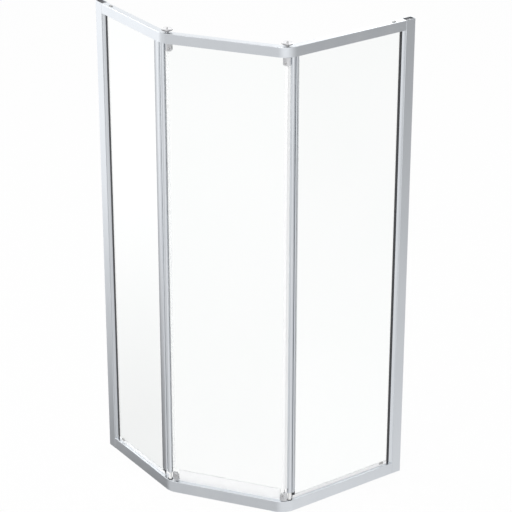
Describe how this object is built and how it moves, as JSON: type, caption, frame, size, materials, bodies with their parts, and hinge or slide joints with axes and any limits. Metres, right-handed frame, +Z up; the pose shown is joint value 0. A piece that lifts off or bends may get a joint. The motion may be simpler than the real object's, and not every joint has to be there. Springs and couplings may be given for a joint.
{
  "type": "corner shower enclosure",
  "caption": "Corner shower enclosure: two fixed glass sides and a slanted pivot door between bent aluminium rails, fixed to two walls of a room's corner.",
  "frame": {"origin": "centre of the enclosure's outline at the height of the shower tray it stands on", "axes": "+Z up, -X to the wall that the left side meets, +Y to the wall that the right side meets, so the room's corner is at -X and +Y"},
  "size_m": [0.889, 0.888, 2.0201],
  "materials": {
    "satin_aluminium": "satin anodised",
    "polished_aluminium": "polished",
    "clear_glass": "clear toughened",
    "black_rubber": "matte",
    "clear_vinyl": "clear soft",
    "white_nylon": "smooth",
    "grey_plastic": "moulded",
    "magnet_grey": "plain",
    "bright_steel": "polished"
  },
  "bodies": {
    "frame": {"top_rail": "satin_aluminium", "bottom_rail": "satin_aluminium", "left_wall_channel": "satin_aluminium", "right_wall_channel": "satin_aluminium", "left_wall_profile": "satin_aluminium", "right_wall_profile": "satin_aluminium", "left_corner_post": "satin_aluminium", "right_corner_post": "satin_aluminium", "left_corner_column": "satin_aluminium", "right_corner_column": "satin_aluminium", "left_column_foot": "white_nylon", "right_column_foot": "white_nylon", "left_foot_cup": "black_rubber", "right_foot_cup": "black_rubber", "left_side_glass": "clear_glass", "right_side_glass": "clear_glass", "left_wall_gasket": "black_rubber", "right_wall_gasket": "black_rubber", "left_post_gasket": "black_rubber", "right_post_gasket": "black_rubber", "left_bottom_bead": "clear_vinyl", "right_bottom_bead": "clear_vinyl", "left_top_bead": "grey_plastic", "right_top_bead": "grey_plastic", "left_lower_clip": "grey_plastic", "right_lower_clip": "grey_plastic", "left_upper_clip": "grey_plastic", "right_upper_clip": "grey_plastic", "left_upper_joint_block": "grey_plastic", "left_lower_joint_block": "grey_plastic", "right_upper_joint_block": "grey_plastic", "right_lower_joint_block": "grey_plastic", "left_top_cap": "polished_aluminium", "right_top_cap": "polished_aluminium", "left_cap_screw": "bright_steel", "right_cap_screw": "bright_steel", "upper_pivot_bush": "white_nylon", "lower_pivot_bush": "white_nylon", "upper_catch_keeper": "bright_steel", "lower_catch_keeper": "bright_steel"},
    "door": {"door_glass": "clear_glass", "upper_hinge_block": "satin_aluminium", "lower_hinge_block": "satin_aluminium", "upper_catch_block": "satin_aluminium", "lower_catch_block": "satin_aluminium", "upper_hinge_block_liner": "clear_vinyl", "lower_hinge_block_liner": "clear_vinyl", "upper_catch_block_liner": "clear_vinyl", "lower_catch_block_liner": "clear_vinyl", "upper_hinge_block_screw": "bright_steel", "lower_hinge_block_screw": "bright_steel", "upper_catch_block_screw": "bright_steel", "lower_catch_block_screw": "bright_steel", "upper_pivot_pin": "bright_steel", "lower_pivot_pin": "bright_steel", "upper_catch_magnet": "magnet_grey", "lower_catch_magnet": "magnet_grey", "door_bottom_seal": "clear_vinyl", "door_hinge_seal": "clear_vinyl", "door_closing_seal": "clear_vinyl"}
  },
  "joints": [
    {"name": "door_swing", "type": "hinge", "parent": "frame", "child": "door", "pos_m": [0.03509, -0.4203, 1], "axis": [0, 0, -1], "range_deg": [0, 100]}
  ]
}
